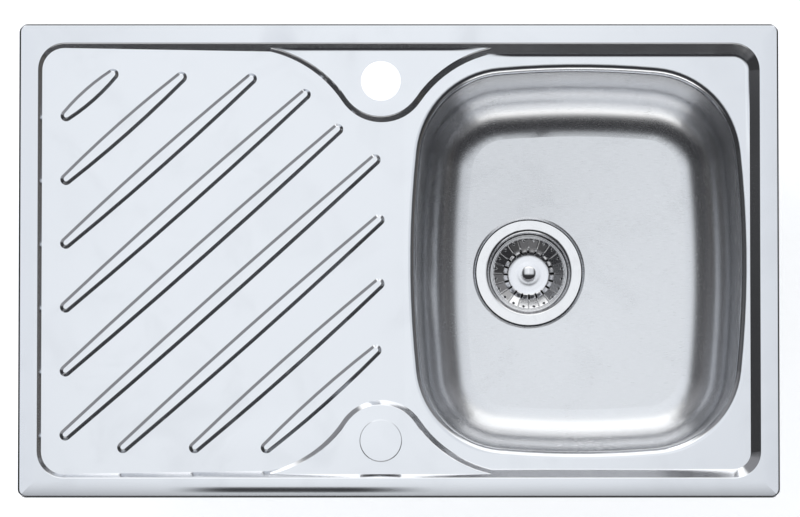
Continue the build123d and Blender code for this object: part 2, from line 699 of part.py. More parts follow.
cutout_x, cutout_y = half_length - cutout_inset, half_width - cutout_inset
clip_x = (clip_left_inset - half_length, bowl_left + clip_middle_gap, half_length - clip_right_inset)
stations = [Location((x, cutout_y, 0), (0, 0, 90)) for x in clip_x]
stations += [Location((x, -cutout_y, 0), (0, 0, -90)) for x in clip_x]
stations += [Location((-cutout_x, 0, 0), (0, 0, 180)), Location((cutout_x, 0, 0))]

at_waste = Pos(waste_x, 0, 0)
at_cap = Pos(tap_x, -tap_y, 0)
parts = {
    "deck": deck, "bowl": bowl, "rim_seal": rim_seal, "sound_pad": sound_pad,
    "waste_cup": at_waste * waste_cup, "flange_gasket": at_waste * flange_gasket,
    "body_gasket": at_waste * body_gasket, "waste_body": at_waste * waste_body,
    "waste_spigot": at_waste * waste_spigot, "waste_bridge": at_waste * waste_bridge,
    "waste_insert": at_waste * waste_insert, "clamp_screw": at_waste * clamp_screw,
    "basket_cup": at_waste * basket_cup, "basket_post": at_waste * basket_post,
    "basket_knob": at_waste * basket_knob, "stopper_plate": at_waste * stopper_plate,
    "stopper_seal": at_waste * stopper_seal, "stopper_clip": at_waste * stopper_clip,
    "cap_disc": at_cap * cap_disc, "cap_stud": at_cap * cap_stud, "cap_seal": at_cap * cap_seal,
    "cap_under_seal": at_cap * cap_under_seal, "cap_plate": at_cap * cap_plate,
    "cap_wing_nut": at_cap * cap_wing_nut,
    "clip_brackets": Compound(children=[place * bracket for place in stations]),
    "clip_nuts": Compound(children=[place * nut for place in stations]),
    "clip_screws": Compound(children=[place * screw for place in stations]),
}
for number, place in enumerate(stations, start=1):
    parts[f"claw_{number}"] = place * claw

os.makedirs("parts", exist_ok=True)
for name, shape in parts.items():
    export_step(shape, f"parts/{name}.step")
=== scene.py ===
import bpy
import json
import math
import numpy as np
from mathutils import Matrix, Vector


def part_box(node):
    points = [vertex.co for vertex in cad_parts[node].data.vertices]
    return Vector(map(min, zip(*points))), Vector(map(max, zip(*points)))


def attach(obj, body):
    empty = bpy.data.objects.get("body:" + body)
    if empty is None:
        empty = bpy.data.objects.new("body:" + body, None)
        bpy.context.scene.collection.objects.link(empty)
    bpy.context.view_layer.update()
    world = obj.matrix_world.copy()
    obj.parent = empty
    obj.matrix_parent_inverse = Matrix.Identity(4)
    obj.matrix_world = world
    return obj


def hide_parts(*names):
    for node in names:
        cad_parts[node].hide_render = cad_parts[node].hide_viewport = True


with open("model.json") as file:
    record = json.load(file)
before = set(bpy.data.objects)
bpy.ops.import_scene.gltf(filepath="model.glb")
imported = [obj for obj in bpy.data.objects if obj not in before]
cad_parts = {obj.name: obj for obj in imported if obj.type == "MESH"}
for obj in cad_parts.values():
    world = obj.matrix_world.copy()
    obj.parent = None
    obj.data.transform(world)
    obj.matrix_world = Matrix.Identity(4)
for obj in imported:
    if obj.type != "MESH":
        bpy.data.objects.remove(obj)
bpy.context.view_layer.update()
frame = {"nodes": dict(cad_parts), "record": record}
nodes = frame["nodes"]
millimetre = 0.001
print("frame loaded:", len(nodes), "nodes")


# Camera, as the photograph was taken: from far above, leaning a little to the front
viewPoint = {
    "lookAt": (0.0012, 0.0022, 0.0),
    "distance": 9.0,
    "lean": 4.97,          # degrees from straight down
    "lens": 384.9,         # millimetres on a 36 mm sensor
}


def placeCamera(spec):
    # The camera stands on a line through lookAt that leans towards the front
    lean = math.radians(spec["lean"])
    x, y, z = spec["lookAt"]
    data = bpy.data.cameras.new("camera")
    data.lens, data.sensor_width = spec["lens"], 36.0
    data.clip_start, data.clip_end = 0.1, 100.0
    camera = bpy.data.objects.new("camera", data)
    camera.location = (x, y - spec["distance"] * math.sin(lean), z + spec["distance"] * math.cos(lean))
    camera.rotation_euler = (lean, 0.0, 0.0)
    bpy.context.scene.collection.objects.link(camera)
    bpy.context.scene.camera = camera


placeCamera(viewPoint)
bpy.context.scene.view_settings.view_transform = "Standard"
print("camera placed")


# Small helpers for node trees and meshes
def addNode(tree, kind, **settings):
    node = tree.nodes.new(kind)
    for name, value in settings.items():
        setattr(node, name, value)
    return node


def join(tree, source, target):
    tree.links.new(source, target)


def feed(tree, value, socket):
    # A socket takes a link from another socket, or a plain value
    if isinstance(value, bpy.types.NodeSocket):
        join(tree, value, socket)
    elif value is not None:
        socket.default_value = value


def maths(tree, operation, first, second=None):
    node = addNode(tree, "ShaderNodeMath", operation=operation)
    feed(tree, first, node.inputs[0])
    feed(tree, second, node.inputs[1])
    return node.outputs[0]


def vectorMaths(tree, operation, first, second=None, result="Vector"):
    node = addNode(tree, "ShaderNodeVectorMath", operation=operation)
    feed(tree, first, node.inputs[0])
    feed(tree, second, node.inputs[1])
    return node.outputs[result]


def ramp(tree, value, low, high, toLow=0.0, toHigh=1.0, kind="SMOOTHSTEP"):
    # Map Range from (low, high) to (toLow, toHigh), with a smooth or straight course
    node = addNode(tree, "ShaderNodeMapRange", interpolation_type=kind)
    for name, source in (("Value", value), ("From Min", low), ("From Max", high), ("To Min", toLow),
                         ("To Max", toHigh)):
        feed(tree, source, node.inputs[name])
    return node.outputs["Result"]


def mixColour(tree, share, first, second):
    node = addNode(tree, "ShaderNodeMix", data_type="RGBA")
    for name, source in (("Factor", share), ("A", first), ("B", second)):
        feed(tree, (*source, 1.0) if isinstance(source, tuple) else source, node.inputs[name])
    return node.outputs["Result"]


def newGroup(name, inputs, outputs):
    # An empty node group with named sockets: floats, vectors or colours
    group = bpy.data.node_groups.new(name, "ShaderNodeTree")
    for label, kind, value in inputs:
        socket = group.interface.new_socket(name=label, in_out="INPUT", socket_type="NodeSocket" + kind)
        if value is not None:
            socket.default_value = value
    for label, kind in outputs:
        group.interface.new_socket(name=label, in_out="OUTPUT", socket_type="NodeSocket" + kind)
    return group, addNode(group, "NodeGroupInput"), addNode(group, "NodeGroupOutput")


def addGroup(tree, group, **values):
    node = addNode(tree, "ShaderNodeGroup", node_tree=group)
    for label, value in values.items():
        feed(tree, value, node.inputs[label.replace("_", " ")])
    return node


def newMaterial(name, **values):
    # A material with one Principled shader, whose plain numbers are set on its own sockets
    material = bpy.data.materials.new(name)
    material.use_nodes = True
    tree = material.node_tree
    tree.nodes.clear()
    shader = addNode(tree, "ShaderNodeBsdfPrincipled")
    output = addNode(tree, "ShaderNodeOutputMaterial")
    join(tree, shader.outputs["BSDF"], output.inputs["Surface"])
    for label, value in values.items():
        shader.inputs[label.replace("_", " ")].default_value = value
    where = addNode(tree, "ShaderNodeTexCoord").outputs["Object"]
    return material, tree, shader, where


def addBump(tree, shader, height, depth, before=None):
    # Surface relief of a real depth in metres, laid over any earlier relief
    node = addNode(tree, "ShaderNodeBump")
    node.inputs["Strength"].default_value = 1.0
    node.inputs["Distance"].default_value = depth
    join(tree, height, node.inputs["Height"])
    if before is not None:
        join(tree, before, node.inputs["Normal"])
    join(tree, node.outputs["Normal"], shader.inputs["Normal"])
    return node.outputs["Normal"]


def surfaceMesh(name, points, wrap=False, closed=False, gone=None):
    # A grid of points, rows by columns, joined by four-sided faces. wrap joins the last column to the
    # first, and closed the last row to the first. Faces marked in gone are left open.
    rows, columns = points.shape[:2]
    down = rows if closed else rows - 1
    across = columns if wrap else columns - 1
    row, column = np.meshgrid(np.arange(down), np.arange(across), indexing="ij")
    nextRow, nextColumn = (row + 1) % rows, (column + 1) % columns
    faces = np.stack([row * columns + column, row * columns + nextColumn,
                      nextRow * columns + nextColumn, nextRow * columns + column], axis=-1)
    faces = faces.reshape(-1, 4) if gone is None else faces[~gone]
    mesh = bpy.data.meshes.new(name)
    mesh.from_pydata(points.reshape(-1, 3), [], faces)
    mesh.shade_smooth()
    piece = bpy.data.objects.new(name, mesh)
    bpy.context.scene.collection.objects.link(piece)
    return piece


# Places that the finishes and pieces follow, read from the frame
deckLow, deckHigh = (np.array(corner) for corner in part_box("deck"))
cupLow, cupHigh = (np.array(corner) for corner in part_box("waste_cup"))
wasteCentre = (cupLow + cupHigh) / 2


# Shared effects
def makeGrain():
    # Rolling or brushing grain: noise drawn out along an axis, as a height and a roughness
    group, given, result = newGroup(
        "steelGrain",
        [("Place", "Vector", None), ("Stretch", "Vector", (1.0, 1.0, 1.0)), ("Scale", "Float", 1000.0),
         ("Smooth", "Float", 0.15), ("Rough", "Float", 0.3)],
        [("Height", "Float"), ("Roughness", "Float")])
    drawn = vectorMaths(group, "MULTIPLY", given.outputs["Place"], given.outputs["Stretch"])
    noise = addNode(group, "ShaderNodeTexNoise")
    noise.inputs["Detail"].default_value = 3.0
    noise.inputs["Roughness"].default_value = 0.55
    join(group, drawn, noise.inputs["Vector"])
    join(group, given.outputs["Scale"], noise.inputs["Scale"])
    join(group, noise.outputs["Fac"], result.inputs["Height"])
    join(group, ramp(group, noise.outputs["Fac"], 0.3, 0.7, given.outputs["Smooth"], given.outputs["Rough"],
                     "LINEAR"), result.inputs["Roughness"])
    return group


def makeSmudge():
    # Faint patches, such as wiped-on marks on steel or bloom on rubber, as a mask
    group, given, result = newGroup(
        "smudge",
        [("Place", "Vector", None), ("Scale", "Float", 20.0), ("Low", "Float", 0.45),
         ("High", "Float", 0.75)],
        [("Mask", "Float")])
    noise = addNode(group, "ShaderNodeTexNoise")
    noise.inputs["Detail"].default_value = 5.0
    noise.inputs["Roughness"].default_value = 0.6
    noise.inputs["Distortion"].default_value = 0.8
    join(group, given.outputs["Place"], noise.inputs["Vector"])
    join(group, given.outputs["Scale"], noise.inputs["Scale"])
    join(group, ramp(group, noise.outputs["Fac"], given.outputs["Low"], given.outputs["High"]),
         result.inputs["Mask"])
    return group


def makeCells():
    # Moulded or foamed skin: small cells and fine noise, as a height and a mask
    group, given, result = newGroup(
        "skin",
        [("Place", "Vector", None), ("Scale", "Float", 800.0), ("Cells", "Float", 0.5)],
        [("Height", "Float"), ("Mask", "Float")])
    cells = addNode(group, "ShaderNodeTexVoronoi")
    noise = addNode(group, "ShaderNodeTexNoise")
    noise.inputs["Detail"].default_value = 4.0
    for node in (cells, noise):
        join(group, given.outputs["Place"], node.inputs["Vector"])
        join(group, given.outputs["Scale"], node.inputs["Scale"])
    blend = addNode(group, "ShaderNodeMix", data_type="FLOAT")
    join(group, given.outputs["Cells"], blend.inputs["Factor"])
    join(group, noise.outputs["Fac"], blend.inputs["A"])
    join(group, cells.outputs["Distance"], blend.inputs["B"])
    join(group, blend.outputs["Result"], result.inputs["Height"])
    join(group, ramp(group, blend.outputs["Result"], 0.25, 0.75), result.inputs["Mask"])
    return group


def makeEdgeDistance():
    # How far inside the rim's outline a point lies, in plan
    group, given, result = newGroup("edgeDistance", [("Place", "Vector", None)], [("Distance", "Float")])
    half = tuple(float(v) for v in (deckHigh - deckLow) / 2)
    inside = vectorMaths(group, "SUBTRACT", half, vectorMaths(group, "ABSOLUTE", given.outputs["Place"]))
    parts = addNode(group, "ShaderNodeSeparateXYZ")
    join(group, inside, parts.inputs[0])
    join(group, maths(group, "MINIMUM", parts.outputs["X"], parts.outputs["Y"]), result.inputs["Distance"])
    return group


def makeChannelDistance(rimBands=(0.020, 0.0205), corner=0.028):
    # How far inside the channel's outline, a rectangle with round corners, a point lies in plan:
    # corner - length of the part outside the corners' centres - the part inside them
    group, given, result = newGroup("channelDistance", [("Place", "Vector", None)], [("Distance", "Float")])
    core = tuple(float(half - band - corner) for half, band in zip((deckHigh - deckLow) / 2, rimBands))
    past = vectorMaths(group, "ABSOLUTE", given.outputs["Place"])
    past = vectorMaths(group, "SUBTRACT", past, (*core, 0.0))
    parts = addNode(group, "ShaderNodeSeparateXYZ")
    join(group, past, parts.inputs[0])
    outside = addNode(group, "ShaderNodeCombineXYZ")
    for axis in ("X", "Y"):
        join(group, maths(group, "MAXIMUM", parts.outputs[axis], 0.0), outside.inputs[axis])
    outside = vectorMaths(group, "LENGTH", outside.outputs[0], result="Value")
    within = maths(group, "MINIMUM", maths(group, "MAXIMUM", parts.outputs["X"], parts.outputs["Y"]), 0.0)
    join(group, maths(group, "SUBTRACT", corner, maths(group, "ADD", outside, within)),
         result.inputs["Distance"])
    return group


grain, smudge, skin = makeGrain(), makeSmudge(), makeCells()
edgeDistance, channelDistance = makeEdgeDistance(), makeChannelDistance()


# Finishes
steelLooks = {
    "deckSteel": {
        "light": (0.80, 0.815, 0.845), "dull": (0.775, 0.79, 0.82),
        "stretch": (1.0, 1.0, 1.0), "scale": 2600.0, "smooth": 0.10, "rough": 0.15, "grainDepth": 0.0000007,
        "wave": 9.0, "waveDepth": 0.00003, "smudgeScale": 14.0,
        # The rim's edge tone is painted shade: a dark band along the outline, where the rolled edge mirrors
        # dark surroundings
        "crownWidth": 0.018, "crownTilt": 3.6, "edgeShadeWidth": 0.0023, "edgeShadeTone": (0.10, 0.10, 0.105),
        "easedSides": [(-0.667, 0.745, 0.0), (-1.0, 0.0, 0.0)], "easedFrom": (0.58, 0.68), "easedBy": 0.19,
        # Local waves of the front rim and the rear rim
        "waves": [
            {"side": -1.0, "comes": (-0.25, -0.17), "goes": (-0.06, 0.05), "across": (0.0048, 0.0118),
             "rise": 0.00042},
            {"side": 1.0, "comes": (-0.15, -0.10), "goes": (-0.075, -0.03), "across": (0.003, 0.019),
             "rise": 0.0006},
        ],
        # Hollow foot of the rear wall: beside the bowl, and along the tap ledge
        "feet": [
            {"comes": (0.080, 0.125), "goes": (0.5, 0.6), "rear": (0.1, 0.2), "start": 0.0100,
             "width": 0.0046, "tilt": 20.0},
            {"comes": (-0.15, -0.10), "goes": (0.050, 0.105), "rear": (0.1, 0.2), "start": 0.0042,
             "width": 0.0046, "tilt": 20.0},
        ],
    },
    "bowlSteel": {
        "light": (0.82, 0.83, 0.85), "dull": (0.80, 0.81, 0.83),
        "stretch": (0.06, 1.0, 1.0), "scale": 1900.0, "smooth": 0.22, "rough": 0.28, "grainDepth": 0.0000004,
        "wave": 5.0, "waveDepth": 0.00002, "smudgeScale": 16.0,
        "dishTilt": 1.9, "dishStart": 0.03,
    },
    "polishedSteel": {
        "light": (0.84, 0.84, 0.85), "dull": (0.80, 0.80, 0.81),
        "stretch": (1.0, 1.0, 1.0), "scale": 2500.0, "smooth": 0.08, "rough": 0.14, "grainDepth": 0.0000004,
        "wave": 60.0, "waveDepth": 0.000006, "smudgeScale": 60.0,
    },
    "basketSteel": {
        "light": (0.83, 0.83, 0.84), "dull": (0.78, 0.78, 0.79),
        "stretch": (1.0, 1.0, 1.0), "scale": 2500.0, "smooth": 0.06, "rough": 0.10, "grainDepth": 0.0000004,
        "wave": 60.0, "waveDepth": 0.000006, "smudgeScale": 90.0,
        # The satin floor's roughness is its real finish; its lighter, bluer tone is painted light, standing
        # in for the light it catches from above
        "satinRadius": 0.0208, "satinFade": 0.0006, "satinRough": 0.24, "satinLitTone": (0.93, 0.935, 0.96),
    },
    "clipSteel": {
        "light": (0.66, 0.67, 0.69), "dull": (0.56, 0.57, 0.58),
        "stretch": (1.0, 1.0, 1.0), "scale": 900.0, "smooth": 0.30, "rough": 0.48, "grainDepth": 0.000006,
        "wave": 90.0, "waveDepth": 0.00001, "smudgeScale": 120.0,
    },
    "threadSteel": {
        "light": (0.66, 0.67, 0.69), "dull": (0.52, 0.53, 0.54),
        "stretch": (1.0, 1.0, 1.0), "scale": 900.0, "smooth": 0.28, "rough": 0.44, "grainDepth": 0.000004,
        "wave": 90.0, "waveDepth": 0.00001, "smudgeScale": 120.0,
        "threadPitch": 0.0008,
    },
    "brass": {
        "light": (0.80, 0.62, 0.30), "dull": (0.66, 0.49, 0.22),
        "stretch": (0.05, 0.05, 1.0), "scale": 2600.0, "smooth": 0.22, "rough": 0.36, "grainDepth": 0.000004,
        "wave": 60.0, "waveDepth": 0.000004, "smudgeScale": 90.0,
    },
}
softLooks = {
    "blackRubber": {"light": (0.035, 0.035, 0.036), "dark": (0.018, 0.018, 0.019), "rough": 0.62,
                    "scale": 1500.0, "cells": 0.15, "depth": 0.00001},
    "foam": {"light": (0.10, 0.10, 0.10), "dark": (0.035, 0.035, 0.035), "rough": 0.95,
             "scale": 900.0, "cells": 0.8, "depth": 0.00012},
    "pad": {"light": (0.13, 0.13, 0.13), "dark": (0.08, 0.08, 0.08), "rough": 0.9,
            "scale": 420.0, "cells": 0.5, "depth": 0.00010},
    "greyPlastic": {"light": (0.82, 0.82, 0.81), "dark": (0.74, 0.74, 0.73), "rough": 0.46,
                    "scale": 1300.0, "cells": 0.3, "depth": 0.000012},
}
markRough = 0.02             # roughness that a wiped-on mark adds to steel
rimSide = (0.15, 0.20)       # metres from the middle, between which a long side's waves begin
bloom = {"Scale": 60.0, "Low": 0.35, "High": 0.8}


def crownHeight(tree, where, look):
    # The rim falls away towards its outline: height = -(width - distance)^2 * tilt / (2 * width)
    distance = addGroup(tree, edgeDistance, Place=where).outputs["Distance"]
    short = maths(tree, "MAXIMUM", maths(tree, "SUBTRACT", look["crownWidth"], distance), 0.0)
    fall = -math.tan(math.radians(look["crownTilt"])) / (2 * look["crownWidth"])
    return maths(tree, "MULTIPLY", maths(tree, "MULTIPLY", short, short), fall), distance


def fromWaste(tree, where, lift=0.0):
    # Distance from the waste's axis in plan, or from a point raised over it
    centre = (float(wasteCentre[0]), float(wasteCentre[1]), 0.0)
    flat = vectorMaths(tree, "MULTIPLY", vectorMaths(tree, "SUBTRACT", where, centre), (1.0, 1.0, 0.0))
    raised = vectorMaths(tree, "ADD", flat, (0.0, 0.0, lift))
    return vectorMaths(tree, "LENGTH", raised, result="Value")


def dishHeight(tree, where, look):
    # The floor falls to the waste: a shallow cone, rounded off near the middle
    away = fromWaste(tree, where, look["dishStart"])
    return maths(tree, "MULTIPLY", away, math.tan(math.radians(look["dishTilt"])))


def waveHeight(tree, distance, where, wave):
    # A shallow step in the rim, parallel to its edge, that comes and goes along the sink's length
    parts = addNode(tree, "ShaderNodeSeparateXYZ")
    join(tree, where, parts.inputs[0])
    along = maths(tree, "MULTIPLY", ramp(tree, parts.outputs["X"], *wave["comes"]),
                  ramp(tree, parts.outputs["X"], *wave["goes"], 1.0, 0.0))
    side = ramp(tree, maths(tree, "MULTIPLY", parts.outputs["Y"], wave["side"]), *rimSide)
    step = ramp(tree, distance, *wave["across"], 0.0, wave["rise"])
    return maths(tree, "MULTIPLY", maths(tree, "MULTIPLY", along, side), step)


def footHeight(tree, distance, where, foot):
    # Hollow curve at a wall's foot: short^2 * tilt / (2 * width), with short the way still to go
    parts = addNode(tree, "ShaderNodeSeparateXYZ")
    join(tree, where, parts.inputs[0])
    along = maths(tree, "MULTIPLY", ramp(tree, parts.outputs["X"], *foot["comes"]),
                  ramp(tree, parts.outputs["X"], *foot["goes"], 1.0, 0.0))
    along = maths(tree, "MULTIPLY", along, ramp(tree, parts.outputs["Y"], *foot["rear"]))
    short = ramp(tree, distance, foot["start"], foot["start"] + foot["width"], foot["width"], 0.0, "LINEAR")
    curve = maths(tree, "MULTIPLY", maths(tree, "MULTIPLY", short, short),
                  math.tan(math.radians(foot["tilt"])) / (2 * foot["width"]))
    return maths(tree, "MULTIPLY", along, curve)


def threadHeight(tree, where, look):
    # Rings a pitch apart down the shank
    parts = addNode(tree, "ShaderNodeSeparateXYZ")
    join(tree, where, parts.inputs[0])
    return maths(tree, "PINGPONG", parts.outputs["Z"], look["threadPitch"] / 2)


def makeSteel(name, look):
    material, tree, shader, where = newMaterial(name, Metallic=1.0)
    marks = addGroup(tree, smudge, Place=where, Scale=look["smudgeScale"]).outputs["Mask"]
    tone = mixColour(tree, marks, look["light"], look["dull"])
    fine = addGroup(tree, grain, Place=where, Stretch=look["stretch"], Scale=look["scale"],
                    Smooth=look["smooth"], Rough=look["rough"])
    rough = maths(tree, "ADD", fine.outputs["Roughness"], maths(tree, "MULTIPLY", marks, markRough))
    broad = addNode(tree, "ShaderNodeTexNoise")
    broad.inputs["Scale"].default_value = look["wave"]
    broad.inputs["Detail"].default_value = 1.0
    join(tree, where, broad.inputs["Vector"])
    relief = addBump(tree, shader, broad.outputs["Fac"], look["waveDepth"])
    relief = addBump(tree, shader, fine.outputs["Height"], look["grainDepth"], relief)
    if "crownTilt" in look:
        height, distance = crownHeight(tree, where, look)
        for wave in look["waves"]:
            height = maths(tree, "ADD", height, waveHeight(tree, distance, where, wave))
        fromWall = addGroup(tree, channelDistance, Place=where).outputs["Distance"]
        for foot in look["feet"]:
            height = maths(tree, "ADD", height, footHeight(tree, fromWall, where, foot))
        relief = addBump(tree, shader, height, 1.0, relief)
        # Painted shade: a band along the rim's outline is darkened, standing in for the dark surroundings
        # that the rolled edge mirrors
        paintedEdgeShade = ramp(tree, distance, 0.4 * look["edgeShadeWidth"], look["edgeShadeWidth"], 1.0, 0.0)
        tone = mixColour(tree, paintedEdgeShade, tone, look["edgeShadeTone"])
    if "satinRadius" in look:
        edge = look["satinRadius"]
        satinAndLight = ramp(tree, fromWaste(tree, where), edge, edge + look["satinFade"], 1.0, 0.0)
        rough = maths(tree, "ADD", rough, maths(tree, "MULTIPLY", satinAndLight, look["satinRough"] - look["rough"]))
        # Painted light: the satin floor also takes a lighter, bluer tone, standing in for the overhead light
        # it catches
        tone = mixColour(tree, satinAndLight, tone, look["satinLitTone"])
    if "easedSides" in look:
        # Flanks that face these ways in plan are shaded as a little flatter than they are
        normal, share = addNode(tree, "ShaderNodeNewGeometry").outputs["Normal"], 0.0
        for side in look["easedSides"]:
            facing = vectorMaths(tree, "DOT_PRODUCT", normal, side, result="Value")
            share = maths(tree, "MAXIMUM", ramp(tree, facing, *look["easedFrom"]), share)
        lift = addNode(tree, "ShaderNodeCombineXYZ")
        join(tree, maths(tree, "MULTIPLY", share, look["easedBy"]), lift.inputs["Z"])
        relief = vectorMaths(tree, "NORMALIZE", vectorMaths(tree, "ADD", relief, lift.outputs[0]))
        join(tree, relief, shader.inputs["Normal"])
    if "dishTilt" in look:
        relief = addBump(tree, shader, dishHeight(tree, where, look), 1.0, relief)
    if "threadPitch" in look:
        relief = addBump(tree, shader, threadHeight(tree, where, look), 1.0, relief)
    join(tree, tone, shader.inputs["Base Color"])
    join(tree, rough, shader.inputs["Roughness"])
    return material


def makeSoft(name, look):
    material, tree, shader, where = newMaterial(name, Roughness=look["rough"])
    cells = addGroup(tree, skin, Place=where, Scale=look["scale"], Cells=look["cells"])
    patches = addGroup(tree, smudge, Place=where, **bloom).outputs["Mask"]
    patches = maths(tree, "MAXIMUM", cells.outputs["Mask"], patches)
    tone = mixColour(tree, patches, look["dark"], look["light"])
    join(tree, tone, shader.inputs["Base Color"])
    addBump(tree, shader, cells.outputs["Height"], look["depth"])
    return material


finish = {name: makeSteel(name, look) for name, look in steelLooks.items()}
finish.update({name: makeSoft(name, look) for name, look in softLooks.items()})
finishOfSlot = {
    "deck_steel": "deckSteel", "bowl_steel": "bowlSteel", "polished_steel": "polishedSteel",
    "clip_steel": "clipSteel", "black_rubber": "blackRubber", "foam": "foam", "pad": "pad",
    "grey_plastic": "greyPlastic", "brass": "brass",
}
threaded = ("clip_screws", "cap_stud")
slotOfNode = {part["node"]: part["material_slot"] for part in frame["record"]["subparts"]}
for nodeName, node in nodes.items():
    look = "threadSteel" if nodeName in threaded else finishOfSlot[slotOfNode[nodeName]]
    node.data.materials.clear()
    node.data.materials.append(finish[look])
print("finishes made:", len(finish))


# Basket: one pressed sheet with a satin floor, twenty flat panels, slots, holes and a beaded rim
basketLow, basketHigh = (np.array(corner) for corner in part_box("basket_cup"))
basketForm = {
    "panels": 20, "sheet": 0.6, "boreRadius": 3.05,
    "floorEdge": 21.4, "floorRound": 2.5,
    "slotStart": 21.9, "slotEnd": 27.8, "slotWidth": 2.2,
    "holeCircle": 36.2, "holeRadius": 1.15,
    "panelStart": 24.0, "panelFull": 28.5, "panelEnd": 38.0,
    "ridgeHeight": 0.34, "ridgeWidth": 0.38,
    "wallEnd": 38.1, "innerBead": 0.62, "outerBead": 0.80, "skirt": 2.0,
    "padRadius": 11.5, "padRise": 0.35,
}


def smooth(value, low, high):
    share = np.clip((value - low) / (high - low), 0.0, 1.0)
    return share * share * (3.0 - 2.0 * share)


def roundedSlot(along, start, end, halfWidth):
    # Half width of a slot with round ends; past its ends it opens out again, so that rows stay even
    into = np.minimum(along - start, end - along)
    inside = np.clip(into, 0.0, halfWidth)
    shape = np.sqrt(np.maximum(halfWidth**2 - (halfWidth - inside) ** 2, 0.0))
    outside = np.clip(-into, 0.0, halfWidth)
    return np.where(into >= 0.0, shape, outside) + 0.02


def buildBasket(form):
    rimRadius = (basketHigh[0] - basketLow[0]) / 2 / millimetre
    rimZ, floorZ = basketHigh[2] / millimetre, basketLow[2] / millimetre + form["sheet"]
    centre = (basketLow + basketHigh) / 2

    # Stations from the bore out to the wall's end, closer together where slots and holes begin and end
    turns = np.linspace(0.0, math.pi / 2, 6)
    half, hole = form["slotWidth"] / 2, form["holeRadius"]
    ends = 1.0 - np.cos(turns)
    stations = np.concatenate([
        np.linspace(form["boreRadius"], form["slotStart"] - 0.3, 14),
        form["slotStart"] + half * ends, form["slotEnd"] - half * ends[::-1],
        np.linspace(form["slotStart"] + half, form["slotEnd"] - half, 7)[1:-1],
        np.linspace(form["slotEnd"] + 0.4, form["holeCircle"] - hole - 0.4, 9),
        form["holeCircle"] - hole * np.cos(np.linspace(0.0, math.pi, 11)),
        [form["panelEnd"] - 0.1, form["wallEnd"]]])
    stations = np.unique(np.round(stations, 4))
    slope = (rimZ - 0.9 - floorZ) / (form["wallEnd"] - form["floorEdge"])
    bend = form["floorRound"]
    # Floor, then a parabola over the bend, then the straight wall
    past = stations - form["floorEdge"]
    heights = floorZ + slope * np.where(past < -bend, 0.0, np.where(past > bend, past, (past + bend) ** 2
                                                                     / (4 * bend)))
    # A low round pad, pressed up under the knob
    heights += form["padRise"] * (1 - smooth(stations, form["padRadius"] - 0.7, form["padRadius"] + 0.7))

    # Rolled rim: a small bead, a groove and the outer bead, then the skirt
    inner, outer = form["innerBead"], form["outerBead"]
    swing = np.radians(np.linspace(150.0, 40.0, 8))
    innerX = form["wallEnd"] + 0.25 + inner + inner * np.cos(swing)
    innerZ = rimZ - 0.12 - inner + inner * np.sin(swing)
    swing = np.radians(np.linspace(140.0, 0.0, 11))
    outerX = rimRadius - outer + outer * np.cos(swing)
    outerZ = rimZ - outer + outer * np.sin(swing)
    radii = np.concatenate([stations, innerX, outerX, [rimRadius, rimRadius]])
    heights = np.concatenate([heights, innerZ, outerZ, [rimZ - 1.4, rimZ - form["skirt"]]])

    # Columns of one panel, from a hole's middle over a slot's middle to the next hole's middle
    step = 2 * math.pi / form["panels"]
    slotHalf = roundedSlot(radii, form["slotStart"], form["slotEnd"], half) / radii
    fromHole = radii - form["holeCircle"]
    holeHalf = np.sqrt(np.maximum(hole**2 - fromHole**2, 0.0))
    holeHalf = (np.where(np.abs(fromHole) < hole, holeHalf, np.minimum(np.abs(fromHole) - hole, hole)) + 0.02)
    holeHalf = holeHalf / radii
    # Near the bore the columns close in, so that they never cross
    slotHalf, holeHalf = np.minimum(slotHalf, 0.2 * step), np.minimum(holeHalf, 0.15 * step)
    shares = np.linspace(0.0, 1.0, 7)[1:-1]
    right = [slotHalf * 0.0, slotHalf * 0.25, slotHalf * 0.55, slotHalf]
    right += [slotHalf + (step / 2 - holeHalf - slotHalf) * share for share in shares]
    right += [step / 2 - holeHalf]
    right = np.stack(right, axis=-1)
    offsets = np.concatenate([np.full((len(radii), 1), -step / 2), -right[:, :0:-1], right], axis=1)
    perPanel = offsets.shape[1]
    middles = np.arange(form["panels"]) * step
    angles = (middles[None, :, None] + offsets[:, None, :]).reshape(len(radii), -1)
    apart = np.tile(offsets, (1, form["panels"]))

    # Flat panels meet in a low ridge in line with each slot
    flatness = smooth(radii, form["panelStart"], form["panelFull"])
    flatness = flatness * (1 - smooth(radii, form["panelEnd"] - 0.8, form["wallEnd"]))
    fromPanel = step / 2 - np.abs(apart)
    pull = 1.0 - flatness[:, None] * (1.0 - math.cos(step / 2) / np.cos(fromPanel))
    ridge = form["ridgeHeight"] * np.exp(-(apart * radii[:, None] / form["ridgeWidth"]) ** 2)
    ridge = ridge * (flatness * smooth(radii, form["slotEnd"], form["slotEnd"] + 1.5))[:, None]
    reach = radii[:, None] * pull
    points = np.stack([reach * np.cos(angles), reach * np.sin(angles), heights[:, None] + ridge], axis=-1)
    points = points * millimetre
    points[..., 0] += centre[0]
    points[..., 1] += centre[1]

    # The slots and the holes are open between their edge columns
    place = np.arange(points.shape[1])[None, :] % perPanel
    between = (radii[:-1, None] + radii[1:, None]) / 2
    inSlot = (between > form["slotStart"]) & (between < form["slotEnd"])
    inHole = np.abs(between - form["holeCircle"]) < hole
    middle = perPanel // 2
    gone = inSlot & (place >= middle - 2) & (place <= middle + 3)
    gone = gone | inHole & ((place == 0) | (place == perPanel - 1))
    piece = surfaceMesh("basketDish", points, wrap=True, gone=gone)
    shell = piece.modifiers.new("thickness", "SOLIDIFY")
    shell.thickness = form["sheet"] * millimetre
    shell.offset = -1.0
    piece.data.materials.append(finish["basketSteel"])
    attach(piece, "basket")
    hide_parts("basket_cup")


buildBasket(basketForm)
print("basket pressed")


# Knob: a waisted neck, a short side and a flattish dome
knobForm = {"side": 1.6, "domeTilt": 21.0, "underside": 2.8, "neck": 4.2, "columns": 64}


